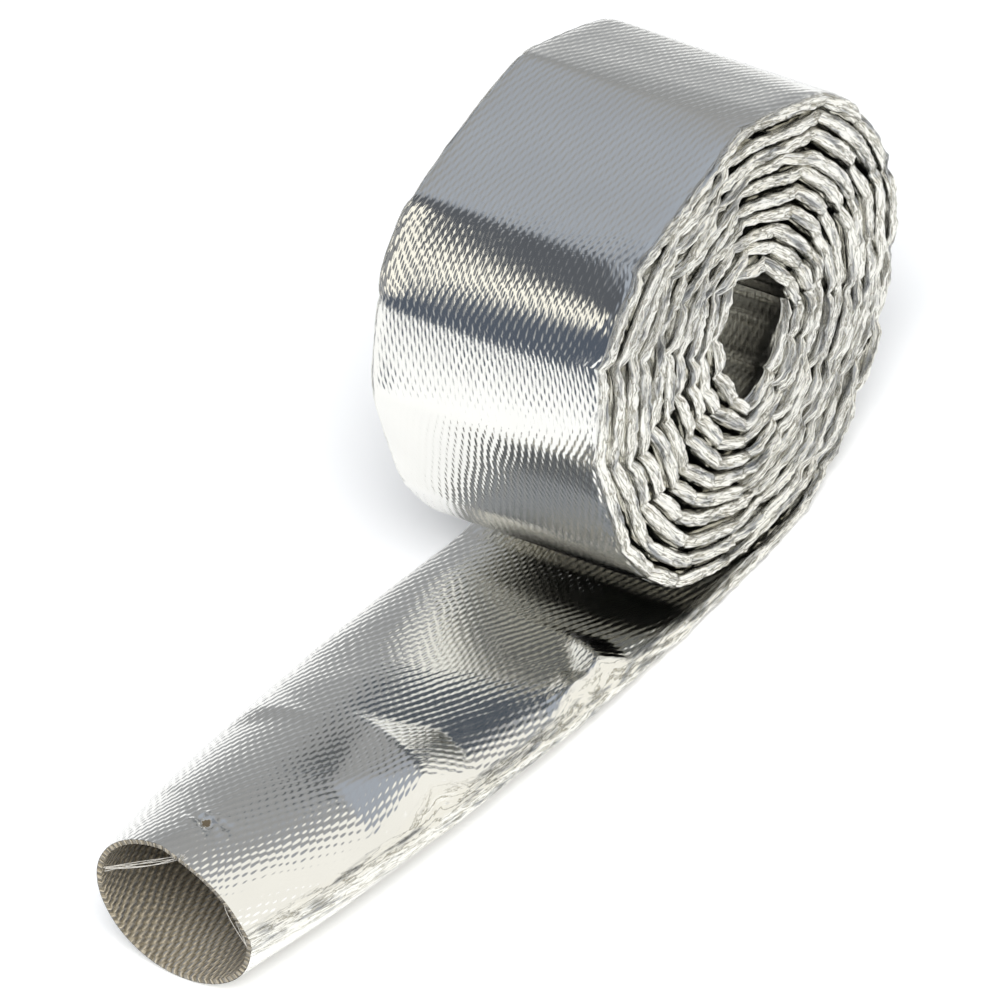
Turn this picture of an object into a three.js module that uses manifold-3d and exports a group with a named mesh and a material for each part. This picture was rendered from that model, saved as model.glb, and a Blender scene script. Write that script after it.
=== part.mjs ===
// Heat shield sleeve: one length of woven glass-fibre tube with aluminium foil bonded round it.
// It is pressed flat, rolled up in kinked turns, and its free end runs out from under the roll
// along the ground and opens into an oval mouth. It is all one piece of sleeve.
//
// Millimetres, +Z up. +X runs from the mouth to the roll, and the roll's axis lies along Y.
// The origin is at the bottom centre of the whole object.

import * as THREE from 'three';
import { mergeVertices } from 'three/addons/utils/BufferGeometryUtils.js';
import Module from 'manifold-3d';

const wasm = await Module();
wasm.setup();

// The sleeve itself
const bore = 25;             // inside diameter when it is open and round
const wall = 0.8;            // glass-fibre wall with its foil
const layFlat = Math.PI * (bore + wall) / 2 + wall;   // width when it is pressed flat

// The roll
const turns = 10.25;         // times that the sleeve goes round, from the foot to its inner end
const pitch = 2.8;           // from one turn to the next
const turnGap = 0.7;         // open slit between two turns
const slitDepth = 3;         // how deep the slits show in the end faces
const coreRadius = 6.2;      // hole that is left at the middle

// The flat foot that the roll stands on, measured from under its axis
const toeReach = 6.5;        // towards the back of the roll
const heelReach = 11;        // towards the mouth, where the second turn comes down on the first

// Corners of the outer turn, anticlockwise from the toe: the angle in degrees and how far
// the kinked sleeve stands out from a round winding there, in millimetres
const kinks = [
  { angle: -67, out: 1.1 },
  { angle: -48, out: -0.3 },
  { angle: -30, out: 0.9 },
  { angle: -12, out: 2.0 },
  { angle: 9, out: 3.6 },
  { angle: 30, out: 2.7 },
  { angle: 48, out: 2.7 },
  { angle: 82, out: 0.7 },
  { angle: 129, out: 2.7 },
  { angle: 152, out: 4.2 },
  { angle: 174, out: 4.7 },
  { angle: 203, out: 4.1 },
  { angle: 217, out: 4.0 },
  { angle: 230, out: 3.9 },
];

// Straight runs between the kinks of the inner turns
const shortestRun = 6;       // at the core
const runGrowth = 0.34;      // longer by this for each millimetre of radius
const runUnevenness = 0.22;  // share by which one run is longer or shorter than the next
const runRhythm = 2.4;       // radians from one run's unevenness to the next's

// The free end
const tailReach = 120.8;     // from the roll's axis to the mouth
const tailLift = 22;         // from the roll's axis to where the sleeve starts to open
const mouthOval = 0.5;       // half-width over and half-height under a round mouth
const mouthDraw = 0.4;       // how far the cut edge draws in
const narrowingLag = 2.5;    // the sides draw in this much later than the middle rises
const edgeInset = 0.3;       // the free end's folds stay this far inside the roll's faces
const flatCorner = 4;        // squareness of the flat section, 2 is an ellipse
const brow = 0.42;           // flatness of the near upper side, 1 is a straight facet
const browStart = 0.4;       // share of the opening over which that side grows flat
const hollowInset = 6;       // the hollow stops this far past the lift

// Facets of the free end
const sectionSides = 36;
const tailSteps = 14;

const foilColour = 0xc9c8bf;

const degrees = Math.PI / 180;
const footHeight = outerRound(0);
const strip = pitch - turnGap;

// Radius of a round winding's outer side, at a turn counted from under the axis
function outerRound(turn) {
  return coreRadius + pitch * (turns + 1 - turn) - turnGap;
}

// Angle in the XZ plane that a turn count stands for
function turnAngle(turn) {
  return (turn - 0.25) * 2 * Math.PI;
}

// Turn count of an angle on the outer turn
function outerTurn(angle) {
  return angle / (2 * Math.PI) + 0.25;
}

// Corners of the outer turn as points, from the toe round to the heel
function outerCorners() {
  const toe = new THREE.Vector2(toeReach, -footHeight);
  const heel = new THREE.Vector2(-heelReach, pitch - footHeight);
  const corners = kinks.map(({ angle, out }) => {
    const radius = outerRound(outerTurn(angle * degrees)) + out;
    return new THREE.Vector2(radius, 0).rotateAround(new THREE.Vector2(), angle * degrees);
  });
  return [toe, ...corners, heel];
}

// The out-of-round shape that every turn follows: each corner's angle, and its radius
// as a share of the round winding's
function windingShape(corners) {
  const shape = corners.map((corner) => {
    let angle = corner.angle();
    if (corner.x > 0 && corner.y < 0) angle -= 2 * Math.PI;
    return { angle, share: corner.length() / outerRound(outerTurn(angle)) };
  });
  const first = shape[0];
  return [...shape, { angle: first.angle + 2 * Math.PI, share: first.share }];
}

const corners = outerCorners();
const shape = windingShape(corners);

// Share of the round radius at any angle, along the straight line between two corners
function shareAt(angle) {
  const full = 2 * Math.PI;
  const start = shape[0].angle;
  const wrapped = start + ((((angle - start) % full) + full) % full);
  const index = shape.findIndex((corner, i) => i > 0 && wrapped <= corner.angle);
  const before = shape[Math.max(index, 1) - 1];
  const after = shape[Math.max(index, 1)];
  const across = before.share * after.share * Math.sin(after.angle - before.angle);
  return across / (before.share * Math.sin(wrapped - before.angle)
    + after.share * Math.sin(after.angle - wrapped));
}

// Outer side of the sleeve at a turn count
function windingRadius(turn) {
  return shareAt(turnAngle(turn)) * outerRound(turn);
}

// Point at a turn count, moved outwards by an offset
function windingPoint(turn, offset) {
  const angle = turnAngle(turn);
  const radius = windingRadius(turn) + offset;
  return new THREE.Vector2(radius * Math.cos(angle), radius * Math.sin(angle));
}

// Turn counts of the kinks between two counts
function kinkTurns(first, last) {
  const counts = [];
  let turn = first;
  while (turn < last) {
    counts.push(turn);
    const radius = outerRound(turn);
    const run = shortestRun + runGrowth * (radius - coreRadius);
    const uneven = 1 + runUnevenness * Math.sin(runRhythm * counts.length);
    turn += run * uneven / (2 * Math.PI * radius);
  }
  counts.push(last);
  return counts;
}

// A flat outline in X and Z, as a slab along Y that is centred on y
function slab(outline, width, y) {
  const geometry = new THREE.ExtrudeGeometry(outline, { depth: width, bevelEnabled: false });
  geometry.rotateX(Math.PI / 2);
  geometry.translate(0, y + width / 2, 0);
  return geometry;
}

function toSolid(geometry) {
  const bare = geometry.clone();
  bare.deleteAttribute('normal');
  bare.deleteAttribute('uv');
  const merged = mergeVertices(bare, 1e-4);
  return new wasm.Manifold(new wasm.Mesh({
    numProp: 3,
    vertProperties: new Float32Array(merged.attributes.position.array),
    triVerts: new Uint32Array(merged.index.array),
  }));
}

function toGeometry(solid) {
  const mesh = solid.getMesh();
  const geometry = new THREE.BufferGeometry();
  geometry.setAttribute('position', new THREE.BufferAttribute(mesh.vertProperties, 3));
  geometry.setIndex(new THREE.BufferAttribute(mesh.triVerts, 1));
  return geometry;
}

// The rolled part: the outer turn's outline with the core hole through it
function rollBody() {
  const heelOnGround = new THREE.Vector2(-heelReach, -footHeight);
  const outline = new THREE.Shape([heelOnGround, ...corners]);
  const inner = kinkTurns(turns - 1, turns).map((turn) => windingPoint(turn, -strip));
  outline.holes.push(new THREE.Path(inner));
  return toSolid(slab(outline, layFlat, 0));
}

// The slit between the turns as it shows in one end face, from the heel to the core
function endSlit(side) {
  const past = 0.02;
  const counts = kinkTurns(outerTurn(shape.at(-2).angle) - past, turns + past);
  const outerSide = counts.map((turn) => windingPoint(turn, turnGap));
  const innerSide = counts.map((turn) => windingPoint(turn, 0)).reverse();
  const outline = new THREE.Shape([...outerSide, ...innerSide]);
  return toSolid(slab(outline, 2 * slitDepth, side * layFlat / 2));
}

// Half-height and half-width of the free end, outside, at a distance from the roll's axis
function tailSection(distance) {
  const flatHeight = strip / 2;
  const flatWidth = layFlat / 2 - edgeInset;
  const mouthRadius = bore / 2 + wall - mouthDraw;
  const opened = THREE.MathUtils.clamp((distance - tailLift) / (tailReach - tailLift), 0, 1);
  const halfHeight = THREE.MathUtils.lerp(flatHeight, mouthRadius - mouthOval, opened);
  const narrowed = opened ** narrowingLag;
  const halfWidth = Math.sqrt(THREE.MathUtils.lerp(
    flatWidth ** 2, (mouthRadius + mouthOval) ** 2, narrowed));
  const flatness = brow * Math.min(opened / browStart, 1);
  return { halfHeight, halfWidth, flatness, corner: THREE.MathUtils.lerp(flatCorner, 2, opened) };
}

// Share of its reach that a point of the section keeps on the near upper side
function browShare(across, up, flatness) {
  const straight = 1 / Math.max(Math.abs(across) + Math.abs(up), 1);
  return across < 0 && up > 0 ? THREE.MathUtils.lerp(1, straight, flatness) : 1;
}

// A closed loft along the free end, between two distances, drawn in by an inset
function tailLoft(from, to, inset) {
  const geometry = new THREE.CylinderGeometry(1, 1, 1, sectionSides, tailSteps);
  const position = geometry.attributes.position;
  const rounded = (value, corner) => Math.sign(value) * Math.abs(value) ** (2 / corner);
  for (let i = 0; i < position.count; i += 1) {
    const distance = from + (position.getY(i) + 0.5) * (to - from);
    const { halfHeight, halfWidth, flatness, corner } = tailSection(distance);
    const acrossShare = rounded(position.getX(i), corner);
    const upShare = rounded(position.getZ(i), corner);
    const kept = browShare(acrossShare, upShare, flatness);
    const across = (halfWidth - inset) * kept * acrossShare;
    const up = (halfHeight - inset) * kept * upShare;
    position.setXYZ(i, -distance, across, halfHeight - footHeight + up);
  }
  return toSolid(geometry);
}

// The free end, hollow from the mouth to where the sleeve lies flat
function tail() {
  const openEnd = 1;
  const outside = tailLoft(-toeReach / 2, tailReach, 0);
  const inside = tailLoft(tailLift + hollowInset, tailReach + openEnd, wall);
  return outside.subtract(inside);
}

function sleeveGeometry() {
  const whole = rollBody().add(tail()).subtract(endSlit(-1)).subtract(endSlit(1));
  const geometry = toGeometry(whole);
  geometry.computeBoundingBox();
  const { min, max } = geometry.boundingBox;
  geometry.translate(-(min.x + max.x) / 2, -(min.y + max.y) / 2, -min.z);
  return geometry;
}

const foil = new THREE.MeshStandardMaterial({ color: foilColour, roughness: 0.32, metalness: 1 });
const sleeve = new THREE.Mesh(sleeveGeometry(), foil);
sleeve.name = 'sleeve';

const object = new THREE.Group();
object.add(sleeve);

export default object;
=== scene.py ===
"""Heat shield sleeve: one length of foil-faced woven glass-fibre tube, rolled up, with its free end open.

Sizes are in millimetres and angles in degrees until a mesh is made, and the frame's metres come in
through MM. The winding is measured from the roll's axis, and Placement puts it into the frame.
"""

import logging
import math
import random
from bisect import bisect_left, bisect_right
from dataclasses import dataclass, field, replace
from enum import Enum

import bmesh
import bpy
from mathutils import Matrix, Vector, noise


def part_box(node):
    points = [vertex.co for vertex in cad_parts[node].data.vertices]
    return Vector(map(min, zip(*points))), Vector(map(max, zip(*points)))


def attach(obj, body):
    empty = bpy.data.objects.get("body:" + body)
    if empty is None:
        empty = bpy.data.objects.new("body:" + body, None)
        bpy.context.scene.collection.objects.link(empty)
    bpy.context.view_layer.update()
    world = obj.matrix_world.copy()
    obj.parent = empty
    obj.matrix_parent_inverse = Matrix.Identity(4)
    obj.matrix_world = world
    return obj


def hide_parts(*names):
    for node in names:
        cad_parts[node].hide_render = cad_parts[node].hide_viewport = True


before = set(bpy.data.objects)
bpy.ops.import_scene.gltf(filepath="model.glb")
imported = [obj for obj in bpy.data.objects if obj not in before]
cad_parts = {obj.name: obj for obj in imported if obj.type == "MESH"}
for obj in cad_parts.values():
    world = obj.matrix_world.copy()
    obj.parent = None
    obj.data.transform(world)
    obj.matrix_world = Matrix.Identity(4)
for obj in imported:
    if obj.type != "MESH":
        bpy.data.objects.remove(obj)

MM = 0.001
NODE = "sleeve"
BODY = "root"
CLOTH_MAP = "cloth"

# Places in the noise where each kind of unevenness is read, so that they don't repeat each other
RIDGE_PLACE = Vector((0.0, 0.0, 3.7))
SIDE_PLACE = Vector((11.0, 5.0, 1.3))
ALONG_PLACE = Vector((4.0, 9.0, 8.1))
DRIFT_DEPTH = 6.1

log = logging.getLogger("heat_shield_sleeve")


class Slot(Enum):
    """The record's material slots."""

    FOIL = "foil"
    GLASS_FIBRE = "glass_fibre"


def mix(low: float, high: float, share: float) -> float:
    """Goes from low to high as share goes from 0 to 1."""
    return low + (high - low) * share


def ease(edge_a: float, edge_b: float, value: float) -> float:
    """Smooth step from 0 at edge_a to 1 at edge_b."""
    share = min(max((value - edge_a) / (edge_b - edge_a), 0.0), 1.0)
    return share * share * (3 - 2 * share)


@dataclass(frozen=True)
class SleeveStock:
    """The woven tube itself.

    Attributes:
        bore: inside diameter when it is open and round.
        wall: glass-fibre wall with its foil.
    """

    bore: float = 25.0
    wall: float = 0.8

    @property
    def lay_flat(self) -> float:
        """Width when it is pressed flat."""
        return math.pi * (self.bore + self.wall) / 2 + self.wall

    @property
    def girth(self) -> float:
        """Length once round the outside of the flat tube."""
        return 2 * self.lay_flat


@dataclass(frozen=True)
class Station:
    """One place along the sleeve.

    Attributes:
        length: how far from the mouth it is.
        point: the outer side's place in X and Z, from the roll's axis.
        outward: the outer side's direction in X and Z.
        run_share: how far along its run it is, from 0 at one kink to 1 at the next.
        run_index: which run it is on.
    """

    length: float
    point: Vector
    outward: Vector
    run_share: float
    run_index: int


@dataclass
class Winding:
    """The line that the sleeve's outer side follows in X and Z, from the mouth to its inner end.

    Attributes:
        turns: times that the sleeve goes round.
        pitch: from one turn to the next, where the ground carries them.
        foot_radius: from the roll's axis down to the ground.
        toe_reach: flat foot past the axis, away from the mouth.
        heel_reach: flat foot towards the mouth, where the second turn comes down on the first.
        tail_reach: from the roll's axis to the mouth.
        corners_out: the outer turn's corners, each an angle and its distance from the axis.
        core: the inner end's outer side, as angles and distances from the axis.
        kink_angles: where the inner turns kink.
        kink_wander: degrees by which an inner turn's kink misses its angle.
        kink_stray: distance by which an inner turn's kink misses its place between the turns.
        shortest_run: shortest run between two kinks.
        run_bow: share by which a run bows out to the round, at the core and at the outside.
        bow_between: distances from the axis between which the bow grows.
        bow_step: distance between the points of a bowed run.
        kink_rounding: length over which a kink is rounded, to both sides.
        near_rounding: the same on the outer turn's near side, where its kinks die out.
        end_run: degrees before the inner end that stay free of kinks.
        seed: start of the inner turns' unevenness.
        corners: the line's points.
        lengths: their distances from the mouth.
        kink_lengths: the kinks' distances from the mouth.
        outline: the outer turn's outline if it did not wind inwards, as angles and distances.
    """

    turns: float = 10.25
    pitch: float = 2.8
    foot_radius: float = 37.0
    toe_reach: float = 6.5
    heel_reach: float = 11.0
    tail_reach: float = 120.8
    corners_out: tuple[tuple[float, float], ...] = (
        (-67, 37.92), (-48, 36.37), (-30, 37.43), (-12, 38.39), (9, 39.83), (30, 38.77), (48, 38.63),
        (82, 36.36), (129, 38.0), (152, 39.32), (174, 39.65), (203, 38.82), (217, 38.61), (230, 38.41),
    )
    core: tuple[tuple[float, float], ...] = (
        (-103, 12.4), (-75, 10.3), (-45, 10.5), (-12, 11.8), (30, 10.2), (77, 12.4), (108, 12.2),
        (143, 9.8), (175, 8.4), (210, 8.6), (240, 10.6),
    )
    kink_angles: tuple[float, ...] = (-100, -70, -40, -10, 21, 56, 92, 122, 150, 177, 203, 228)
    kink_wander: float = 9.0
    kink_stray: float = 0.3
    shortest_run: float = 4.6
    run_bow: tuple[float, float] = (0.35, 0.85)
    bow_between: tuple[float, float] = (10.0, 30.0)
    bow_step: float = 2.5
    kink_rounding: float = 1.1
    near_rounding: float = 6.5
    end_run: float = 4.0
    seed: int = 7
    corners: list[Vector] = field(init=False)
    lengths: list[float] = field(init=False)
    kink_lengths: list[float] = field(init=False)
    outline: list[tuple[float, float]] = field(init=False)

    def __post_init__(self) -> None:
        """Works out the corners of the whole winding and their distances from the mouth."""
        toe = Vector((self.toe_reach, -self.foot_radius))
        heel = Vector((-self.heel_reach, self.pitch - self.foot_radius))
        first = [toe, *(self._polar(angle, radius) for angle, radius in self.corners_out), heel]
        self.corners = [Vector((-self.tail_reach, -self.foot_radius)), *first]
        kinks = list(range(len(self.corners)))
        self._wind_inwards(first, kinks)
        self.lengths = [0.0]
        for before, after in zip(self.corners, self.corners[1:]):
            self.lengths.append(self.lengths[-1] + (after - before).length)
        self.kink_lengths = [self.lengths[kink] for kink in kinks]

    @property
    def total(self) -> float:
        """Length of the sleeve from the mouth to its inner end."""
        return self.lengths[-1]

    @property
    def heel_length(self) -> float:
        """Distance from the mouth to the heel, once round the roll."""
        return self.kink_lengths[len(self.corners_out) + 2]

    @staticmethod
    def _polar(angle: float, radius: float) -> Vector:
        """Point at an angle and a distance from the axis."""
        return Vector((radius * math.cos(math.radians(angle)), radius * math.sin(math.radians(angle))))

    @staticmethod
    def reach(outline: list[tuple[float, float]], angle: float) -> float:
        """Distance from the axis to an outline of straight sides, at any angle.

        Args:
            outline: corners with growing angles, less than once round.
            angle: the angle in degrees, of any turn.

        Returns:
            The distance.
        """
        closed = [*outline, (outline[0][0] + 360, outline[0][1])]
        wrapped = closed[0][0] + (angle - closed[0][0]) % 360
        index = next(i for i in range(1, len(closed)) if wrapped <= closed[i][0])
        (first, near), (last, far) = closed[index - 1], closed[index]
        across = near * far * math.sin(math.radians(last - first))
        along = near * math.sin(math.radians(wrapped - first)) + far * math.sin(math.radians(last - wrapped))
        return across / along

    def progress(self, unwound: float) -> float:
        """Share of the turns that lie outside an angle that keeps growing turn after turn."""
        return (unwound + 90) / 360 / self.turns

    def _start_outline(self, first: list[Vector]) -> list[tuple[float, float]]:
        """The outline that the outer turn would have if it did not wind inwards.

        Args:
            first: the outer turn's corners.

        Returns:
            Its corners as angles and distances from the axis.
        """
        outline = []
        for corner in first:
            angle = math.degrees(math.atan2(corner.y, corner.x))
            if outline and angle < outline[-1][0]:
                angle += 360
            done = self.progress(angle)
            outline.append((angle, (corner.length - done * self.reach(list(self.core), angle)) / (1 - done)))
        return outline

    def spacing(self, unwound: float) -> float:
        """Room for one turn at an angle."""
        return (self.reach(self.outline, unwound) - self.reach(list(self.core), unwound)) / self.turns

    def _wind_inwards(self, first: list[Vector], kinks: list[int]) -> None:
        """Adds the inner turns, whose shape goes over from the outer turn's to the core's.

        Args:
            first: the outer turn's corners.
            kinks: which of the line's points are kinks, to be added to.
        """
        self.outline = self._start_outline(first)
        draw = random.Random(self.seed)
        end = self.turns * 360 - 90
        last = self.outline[-1][0]
        turn = 1
        while 360 * turn < end + 90:
            for angle in self.kink_angles:
                unwound = angle + 360 * turn + draw.uniform(-self.kink_wander, self.kink_wander)
                stray = draw.uniform(-self.kink_stray, self.kink_stray)
                corner = self._polar(unwound, self._inner_radius(unwound) + stray)
                if (corner - self.corners[-1]).length >= self.shortest_run and unwound < end - self.end_run:
                    self._run_to(last, unwound, corner)
                    kinks.append(len(self.corners) - 1)
                    last = unwound
            turn += 1
        self._run_to(last, end, self._polar(end, self._inner_radius(end)))
        kinks.append(len(self.corners) - 1)

    def _run_to(self, last: float, unwound: float, corner: Vector) -> None:
        """Adds a run that bows out a little between its kinks.

        Args:
            last: angle of the kink that it starts from.
            unwound: angle of the kink that it ends at.
            corner: the point that it ends at.
        """
        start = self.corners[-1].copy()
        pieces = max(1, round((corner - start).length / self.bow_step))
        bowed = mix(*self.run_bow, ease(*self.bow_between, corner.length))
        for index in range(1, pieces):
            share = index / pieces
            angle = mix(last, unwound, share)
            around = self._polar(angle, self._inner_radius(angle))
            self.corners.append(start.lerp(corner, share).lerp(around, bowed))
        self.corners.append(corner)

    def _inner_radius(self, unwound: float) -> float:
        """Distance from the axis to the sleeve's outer side on an inner turn."""
        core = self.reach(list(self.core), unwound)
        return mix(self.reach(self.outline, unwound), core, self.progress(unwound))

    def _run_at(self, length: float) -> int:
        """Index of the straight run that holds a length."""
        return min(max(bisect_left(self.lengths, length) - 1, 0), len(self.lengths) - 2)

    def _sharp(self, length: float, run: int) -> Vector:
        """Point on the kinked line, searched for near a run.

        Args:
            length: distance from the mouth.
            run: index of the run where the search starts.

        Returns:
            The point.
        """
        while run > 0 and length < self.lengths[run]:
            run -= 1
        while run < len(self.lengths) - 2 and length > self.lengths[run + 1]:
            run += 1
        start, stop = self.lengths[run], self.lengths[run + 1]
        return self.corners[run].lerp(self.corners[run + 1], (length - start) / (stop - start))

    def _rounded(self, length: float, run: int, reach: float) -> Vector:
        """Point on the line with its kinks rounded over a reach to both sides.

        Args:
            length: distance from the mouth.
            run: index of the run that holds it.
            reach: length over which a kink is rounded, to both sides.

        Returns:
            The point.
        """
        taps = 4
        total = Vector((0.0, 0.0))
        for tap in range(-taps, taps + 1):
            total += self._sharp(length + tap / taps * reach, run)
        return total / (2 * taps + 1)

    def station(self, length: float, rounding: float) -> Station:
        """The place on the sleeve at a distance from the mouth.

        Args:
            length: distance from the mouth along the sleeve.
            rounding: length over which a kink is rounded, to both sides.

        Returns:
            The station with its point, direction and place on its run.
        """
        run = self._run_at(length)
        feel = 0.3
        ahead = self._rounded(length + feel, run, rounding)
        behind = self._rounded(length - feel, run, rounding)
        along = (ahead - behind).normalized()
        kinks = self.kink_lengths
        after = min(max(bisect_right(kinks, length), 1), len(kinks) - 1)
        share = min(max((length - kinks[after - 1]) / (kinks[after] - kinks[after - 1]), 0.0), 1.0)
        point = self._rounded(length, run, rounding)
        return Station(length, point, Vector((along.y, -along.x)), share, after - 1)


@dataclass(frozen=True)
class Placement:
    """Puts the winding into the frame.

    Attributes:
        axis_x: the roll axis's place along X in the frame.
        axis_z: its height in the frame.
    """

    axis_x: float
    axis_z: float

    def point(self, station: Station, across: float, depth: float, tilt: float = 0.0) -> Vector:
        """A point on the sleeve in the frame's metres.

        Args:
            station: the place along the sleeve.
            across: place along Y.
            depth: how far inside the outer side.
            tilt: shift along the sleeve.

        Returns:
            The point.
        """
        along = Vector((-station.outward.y, station.outward.x))
        flat = station.point - station.outward * depth + along * tilt
        return Vector(((flat.x + self.axis_x) * MM, across * MM, (flat.y + self.axis_z) * MM))


@dataclass(frozen=True)
class Dent:
    """A kink in the free end's skin: flat facets that fan out from one deep point.

    Attributes:
        notch: the deep point, as a distance from the mouth and a place round the girth.
        rim: the fan's outer points in order, in the same measure, where the skin is untouched.
        depth: how deep the notch is.
        way: direction of the dent across and up.
    """

    notch: tuple[float, float]
    rim: tuple[tuple[float, float], ...]
    depth: float
    way: tuple[float, float]

    def share(self, length: float, girth: float) -> float:
        """How deep a place is, from 0 outside the dent to 1 at the notch.

        Args:
            length: distance from the mouth.
            girth: distance round the section.

        Returns:
            The share.
        """
        place = Vector((length, girth)) - Vector(self.notch)
        for start, stop in zip(self.rim, self.rim[1:] + self.rim[:1]):
            a = Vector(start) - Vector(self.notch)
            b = Vector(stop) - Vector(self.notch)
            area = a.x * b.y - a.y * b.x
            if area == 0:
                continue
            along_a = (place.x * b.y - place.y * b.x) / area
            along_b = (a.x * place.y - a.y * place.x) / area
            if along_a >= 0 and along_b >= 0 and along_a + along_b <= 1:
                return 1 - along_a - along_b
        return 0.0


@dataclass(frozen=True)
class RingPoint:
    """One point of the sleeve's section: across, depth and distance round the girth."""

    across: float
    depth: float
    girth: float


@dataclass
class SleeveForm:
    """The sleeve's section all along the winding.

    Attributes:
        stock: the tube's own sizes.
        winding: the line that it follows.
        flat_thickness: thickness of the free end where it is flat.
        fill: share of the room between the turns that a run takes up in its middle.
        pinched: the same at a kink.
        left_slack: how much less it is on the side of the mouth.
        lift: distance from the roll's axis to where the free end starts to open.
        mouth_oval: half-width over and half-height under a round mouth.
        mouth_draw: how far the cut edge draws in.
        narrowing_lag: the sides draw in this much later than the middle rises.
        flat_spread: how far the free end stands out past the roll's width where it is flat.
        brow: share by which the near upper side of the open end lies flat.
        brow_start: share of the opening over which that side grows flat.
        shut_over: length over which the inner end is pressed shut.
        shut_share: share of its thickness that the inner end keeps.
        slack_spread: degrees to both sides over which the slack on the mouth's side fades.
        settling: length over which the free end's thickness goes over to the roll's.
        spread_fade: lengths before and after the toe over which the free end's spread fades.
        fold_wander: how far a fold strays sideways from run to run.
        kink_draw_in: how far a fold draws in at a kink.
        flat_nose: squareness of the flat section's ends, where 1 is round.
        flat_belly: squareness of its faces.
        rounding_rate: how soon the section grows round as the free end opens.
        crowding: how much closer its points lie at the folds, flat and open.
        least_half: least half-height of a section, which keeps an inset one from closing up.
        seed: start of the folds' unevenness.
        dents: the kinks in the free end's skin.
    """

    stock: SleeveStock
    winding: Winding
    flat_thickness: float = 2.1
    fill: float = 1.0
    pinched: float = 0.78
    left_slack: float = 0.06
    lift: float = 22.0
    mouth_oval: float = 0.5
    mouth_draw: float = 0.4
    narrowing_lag: float = 2.5
    flat_spread: float = 0.7
    brow: float = 0.42
    brow_start: float = 0.4
    shut_over: float = 3.5
    shut_share: float = 0.12
    slack_spread: float = 40.0
    settling: float = 9.0
    spread_fade: tuple[float, float] = (12.0, 10.0)
    fold_wander: float = 0.45
    kink_draw_in: float = 1.0
    flat_nose: float = 0.1
    flat_belly: float = 0.6
    rounding_rate: float = 0.7
    crowding: tuple[float, float] = (0.36, 0.08)
    least_half: float = 0.05
    seed: int = 11
    dents: tuple[Dent, ...] = ()

    def opened(self, length: float) -> float:
        """How far open the free end is, from 0 flat to 1 at the mouth."""
        distance = self.winding.tail_reach - length
        return min(max((distance - self.lift) / (self.winding.tail_reach - self.lift), 0.0), 1.0)

    def thickness(self, station: Station) -> float:
        """Thickness of the flat sleeve, which is pinched at its kinks.

        Args:
            station: the place along the sleeve.

        Returns:
            The thickness.
        """
        if station.run_index == 0:
            return self.flat_thickness
        winding = self.winding
        angle = math.degrees(math.atan2(station.point.y, station.point.x)) % 360
        bow = math.sin(math.pi * min(max(station.run_share, 0.0), 1.0)) ** 0.5
        loose = self.left_slack * math.exp(-((angle - 180) / self.slack_spread) ** 2)
        packed = winding.spacing(angle) * (mix(self.pinched, self.fill, bow) - loose)
        wound = ease(winding.kink_lengths[1], winding.kink_lengths[1] + self.settling, station.length)
        shut = ease(winding.total, winding.total - self.shut_over, station.length)
        return mix(self.flat_thickness, packed, wound) * mix(self.shut_share, 1.0, shut)

    def ring(self, station: Station, sides: int, inset: float = 0.0) -> list[RingPoint]:
        """The section's points, from the far fold over the outer side to the near fold and back.

        Args:
            station: the place along the sleeve.
            sides: how many points go once round.
            inset: how far inside the outer skin the section is.

        Returns:
            The points, with the first one again at the end.
        """
        opened = self.opened(station.length)
        half_height, half_width = self._half_sizes(station, opened)
        half_height = max(half_height - inset, self.least_half)
        half_width -= inset
        middle = half_height + inset
        roundness = opened ** self.rounding_rate
        nose = mix(self.flat_nose, 1.0, roundness)
        belly = mix(self.flat_belly, 1.0, roundness)
        crowd = mix(*self.crowding, opened)
        flatten = self.brow * min(opened / self.brow_start, 1.0)
        points: list[tuple[float, float]] = []
        for index in range(sides + 1):
            share = index / sides
            angle = 2 * math.pi * share - crowd * math.sin(4 * math.pi * share)
            across, up = math.cos(angle), math.sin(angle)
            across = math.copysign(abs(across) ** nose, across)
            up = math.copysign(abs(up) ** belly, up)
            if across < 0 and up < 0:
                spread = abs(across) + abs(up)
                across, up = (mix(v, v / max(spread, 1.0), flatten) for v in (across, up))
            points.append((half_width * across, middle - half_height * up))
        points[-1] = points[0]
        rounds = [0.0]
        for before, after in zip(points, points[1:]):
            rounds.append(rounds[-1] + math.dist(before, after))
        scale = self.stock.girth / rounds[-1]
        return [RingPoint(y, depth, g * scale) for (y, depth), g in zip(points, rounds)]

    def _half_sizes(self, station: Station, opened: float) -> tuple[float, float]:
        """Half the section's height and width at a place.

        Args:
            station: the place along the sleeve.
            opened: how far open the free end is there.

        Returns:
            Half the height and half the width.
        """
        flat_width = self.stock.lay_flat / 2
        toe = self.winding.kink_lengths[1]
        before, after = self.spread_fade
        flat_width += self.flat_spread * (1 - ease(toe - before, toe + after, station.length))
        if opened == 0:
            return self.thickness(station) / 2, flat_width - self.edge_wander(station)
        mouth = self.stock.bore / 2 + self.stock.wall - self.mouth_draw
        flat_height = self.flat_thickness / 2
        height = mix(flat_height, mouth - self.mouth_oval, opened)
        narrowed = opened ** self.narrowing_lag
        width = math.sqrt(mix(flat_width ** 2, (mouth + self.mouth_oval) ** 2, narrowed))
        return height, width

    def edge_wander(self, station: Station) -> float:
        """How far a fold draws in: a little at each kink, and unevenly from run to run.

        Args:
            station: the place along the sleeve.

        Returns:
            The distance.
        """
        draw = random.Random(self.seed + station.run_index)
        at_kink = abs(2 * station.run_share - 1) ** 4
        toe = self.winding.kink_lengths[1]
        wander = mix(draw.uniform(-self.fold_wander, self.fold_wander), self.kink_draw_in, at_kink)
        return wander * ease(toe, toe + self.spread_fade[0], station.length)


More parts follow.
